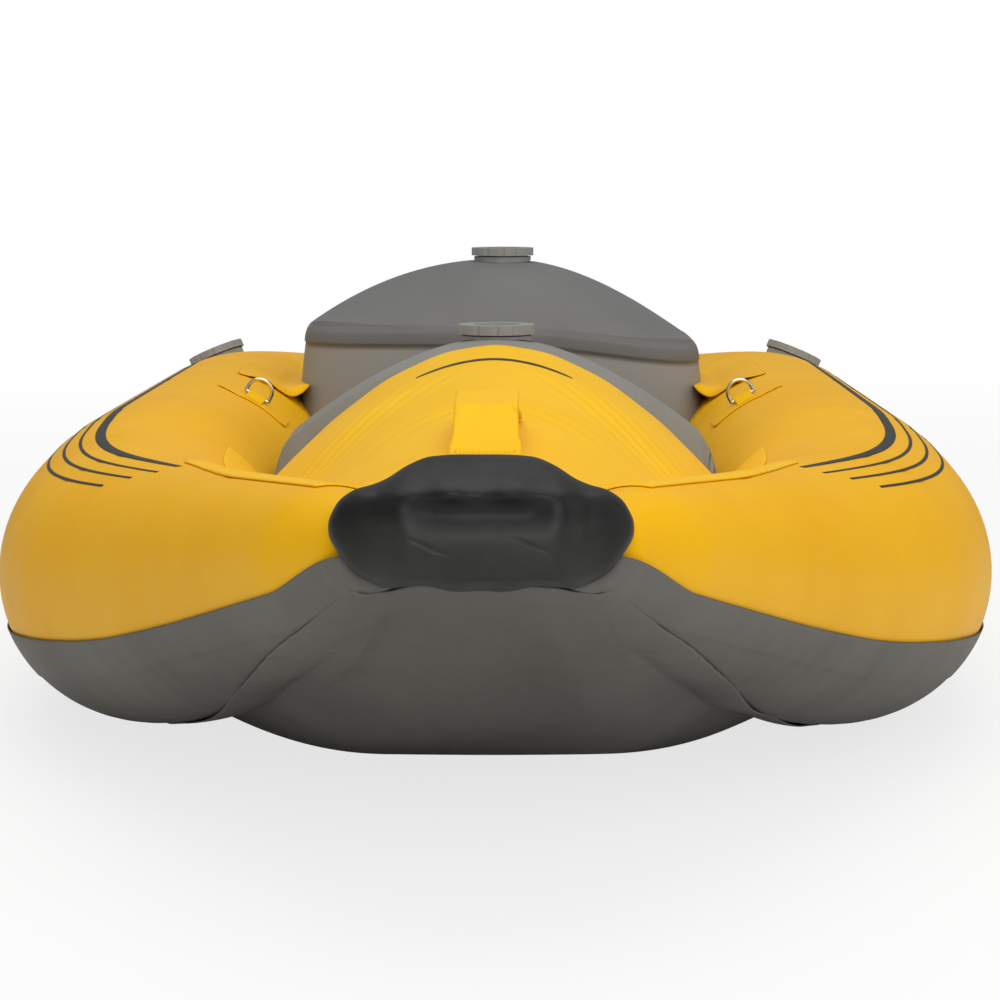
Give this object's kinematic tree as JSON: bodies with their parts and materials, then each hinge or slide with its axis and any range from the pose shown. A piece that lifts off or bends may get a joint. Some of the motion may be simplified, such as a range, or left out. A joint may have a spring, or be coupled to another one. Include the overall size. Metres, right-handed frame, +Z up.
{
  "type": "inflatable kayak",
  "caption": "Solo whitewater inflatable kayak with side tubes, arched bow deck, backrest, floor, capped valves, D-rings and grab straps.",
  "frame": {"origin": "centre of the bounding box, on the ground under the flat of the belly", "axes": "+X towards the port side, -Y towards the bow, +Z up"},
  "size_m": [1.041, 2.9, 0.462],
  "materials": {
    "yellow_tube_fabric": "satin coated fabric",
    "yellow_deck_fabric": "satin coated fabric",
    "grey_bottom_fabric": "satin coated fabric",
    "grey_floor_fabric": "matte coated fabric",
    "light_grey_fabric": "matte coated fabric",
    "dark_grey_fabric": "matte coated fabric",
    "black_bumper_rubber": "satin",
    "seal_rubber": "matte",
    "grey_valve_plastic": "satin",
    "black_valve_plastic": "satin",
    "white_valve_plastic": "satin",
    "polished_steel": "polished",
    "spring_steel": "drawn wire"
  },
  "bodies": {
    "hull": {"port_tube": "yellow_tube_fabric", "starboard_tube": "yellow_tube_fabric", "port_bottom_panel": "grey_bottom_fabric", "starboard_bottom_panel": "grey_bottom_fabric", "belly": "grey_bottom_fabric", "bow_deck": "yellow_deck_fabric", "stern_deck": "yellow_deck_fabric", "bow_bumper": "black_bumper_rubber", "stern_bumper": "black_bumper_rubber", "floor": "grey_floor_fabric", "deck_arch": "light_grey_fabric", "backrest": "dark_grey_fabric", "port_backrest_flap": "yellow_tube_fabric", "starboard_backrest_flap": "yellow_tube_fabric", "bow_strap": "yellow_deck_fabric", "stern_strap": "yellow_deck_fabric", "port_front_ring_patch": "yellow_tube_fabric", "port_rear_ring_patch": "yellow_tube_fabric", "starboard_front_ring_patch": "yellow_tube_fabric", "starboard_rear_ring_patch": "yellow_tube_fabric", "port_valve_body": "grey_valve_plastic", "port_valve_nut": "black_valve_plastic", "port_valve_spring": "spring_steel", "starboard_valve_body": "grey_valve_plastic", "starboard_valve_nut": "black_valve_plastic", "starboard_valve_spring": "spring_steel", "arch_valve_body": "grey_valve_plastic", "arch_valve_nut": "black_valve_plastic", "arch_valve_spring": "spring_steel", "backrest_valve_body": "grey_valve_plastic", "backrest_valve_nut": "black_valve_plastic", "backrest_valve_spring": "spring_steel", "floor_valve_body": "grey_valve_plastic", "floor_valve_nut": "black_valve_plastic", "floor_valve_spring": "spring_steel"},
    "port_front_d_ring": {"port_front_d_ring": "polished_steel"},
    "port_rear_d_ring": {"port_rear_d_ring": "polished_steel"},
    "starboard_front_d_ring": {"starboard_front_d_ring": "polished_steel"},
    "starboard_rear_d_ring": {"starboard_rear_d_ring": "polished_steel"},
    "port_poppet": {"port_valve_poppet": "white_valve_plastic"},
    "port_seal": {"port_valve_seal": "seal_rubber"},
    "port_cap": {"port_valve_cap": "grey_valve_plastic"},
    "starboard_poppet": {"starboard_valve_poppet": "white_valve_plastic"},
    "starboard_seal": {"starboard_valve_seal": "seal_rubber"},
    "starboard_cap": {"starboard_valve_cap": "grey_valve_plastic"},
    "arch_poppet": {"arch_valve_poppet": "white_valve_plastic"},
    "arch_seal": {"arch_valve_seal": "seal_rubber"},
    "arch_cap": {"arch_valve_cap": "grey_valve_plastic"},
    "backrest_poppet": {"backrest_valve_poppet": "white_valve_plastic"},
    "backrest_seal": {"backrest_valve_seal": "seal_rubber"},
    "backrest_cap": {"backrest_valve_cap": "grey_valve_plastic"},
    "floor_poppet": {"floor_valve_poppet": "white_valve_plastic"},
    "floor_seal": {"floor_valve_seal": "seal_rubber"},
    "floor_cap": {"floor_valve_cap": "grey_valve_plastic"}
  },
  "joints": [
    {"name": "port_front_d_ring_swing", "type": "hinge", "parent": "hull", "child": "port_front_d_ring", "pos_m": [0.29033, -0.15, 0.29578], "axis": [0.8704, 0, 0.4924], "range_deg": [-80, 80]},
    {"name": "port_rear_d_ring_swing", "type": "hinge", "parent": "hull", "child": "port_rear_d_ring", "pos_m": [0.22807, 0.7998, 0.26681], "axis": [0.8829, 0, 0.4696], "range_deg": [-80, 80]},
    {"name": "starboard_front_d_ring_swing", "type": "hinge", "parent": "hull", "child": "starboard_front_d_ring", "pos_m": [-0.29033, -0.15, 0.29578], "axis": [0.8704, 0, -0.4924], "range_deg": [-80, 80]},
    {"name": "starboard_rear_d_ring_swing", "type": "hinge", "parent": "hull", "child": "starboard_rear_d_ring", "pos_m": [-0.22807, 0.7998, 0.26681], "axis": [0.8829, 0, -0.4696], "range_deg": [-80, 80]},
    {"name": "port_poppet_press", "type": "slide", "parent": "hull", "child": "port_poppet", "axis": [-0.3858, -0.1113, -0.9158], "range_m": [0, 0.006], "stiffness_N_per_m": 300, "springref_m": -0.01, "deforming": ["port_valve_spring"]},
    {"name": "port_cap_lift", "type": "slide", "parent": "hull", "child": "port_seal", "axis": [0.3858, 0.1113, 0.9158], "range_m": [0, 0.06]},
    {"name": "port_cap_turn", "type": "hinge", "parent": "port_seal", "child": "port_cap", "pos_m": [0.42224, 0.55111, 0.29822], "axis": [0.3858, 0.1113, 0.9158], "range_deg": [0, 90]},
    {"name": "starboard_poppet_press", "type": "slide", "parent": "hull", "child": "starboard_poppet", "axis": [0.3858, -0.1113, -0.9158], "range_m": [0, 0.006], "stiffness_N_per_m": 300, "springref_m": -0.01, "deforming": ["starboard_valve_spring"]},
    {"name": "starboard_cap_lift", "type": "slide", "parent": "hull", "child": "starboard_seal", "axis": [-0.3858, 0.1113, 0.9158], "range_m": [0, 0.06]},
    {"name": "starboard_cap_turn", "type": "hinge", "parent": "starboard_seal", "child": "starboard_cap", "pos_m": [-0.42224, 0.55111, 0.29822], "axis": [-0.3858, 0.1113, 0.9158], "range_deg": [0, 90]},
    {"name": "arch_poppet_press", "type": "slide", "parent": "hull", "child": "arch_poppet", "axis": [0, 0, -1], "range_m": [0, 0.006], "stiffness_N_per_m": 300, "springref_m": -0.01, "deforming": ["arch_valve_spring"]},
    {"name": "arch_cap_lift", "type": "slide", "parent": "hull", "child": "arch_seal", "axis": [0, 0, 1], "range_m": [0, 0.06]},
    {"name": "arch_cap_turn", "type": "hinge", "parent": "arch_seal", "child": "arch_cap", "pos_m": [0, -0.47, 0.39598], "axis": [0, 0, 1], "range_deg": [0, 90]},
    {"name": "backrest_poppet_press", "type": "slide", "parent": "hull", "child": "backrest_poppet", "axis": [0, 0, -1], "range_m": [0, 0.006], "stiffness_N_per_m": 300, "springref_m": -0.01, "deforming": ["backrest_valve_spring"]},
    {"name": "backrest_cap_lift", "type": "slide", "parent": "hull", "child": "backrest_seal", "axis": [0, 0, 1], "range_m": [0, 0.06]},
    {"name": "backrest_cap_turn", "type": "hinge", "parent": "backrest_seal", "child": "backrest_cap", "pos_m": [0, 0.21, 0.457], "axis": [0, 0, 1], "range_deg": [0, 90]},
    {"name": "floor_poppet_press", "type": "slide", "parent": "hull", "child": "floor_poppet", "axis": [0, 0, -1], "range_m": [0, 0.006], "stiffness_N_per_m": 300, "springref_m": -0.01, "deforming": ["floor_valve_spring"]},
    {"name": "floor_cap_lift", "type": "slide", "parent": "hull", "child": "floor_seal", "axis": [0, 0, 1], "range_m": [0, 0.06]},
    {"name": "floor_cap_turn", "type": "hinge", "parent": "floor_seal", "child": "floor_cap", "pos_m": [0, 0.63, 0.115], "axis": [0, 0, 1], "range_deg": [0, 90]}
  ]
}
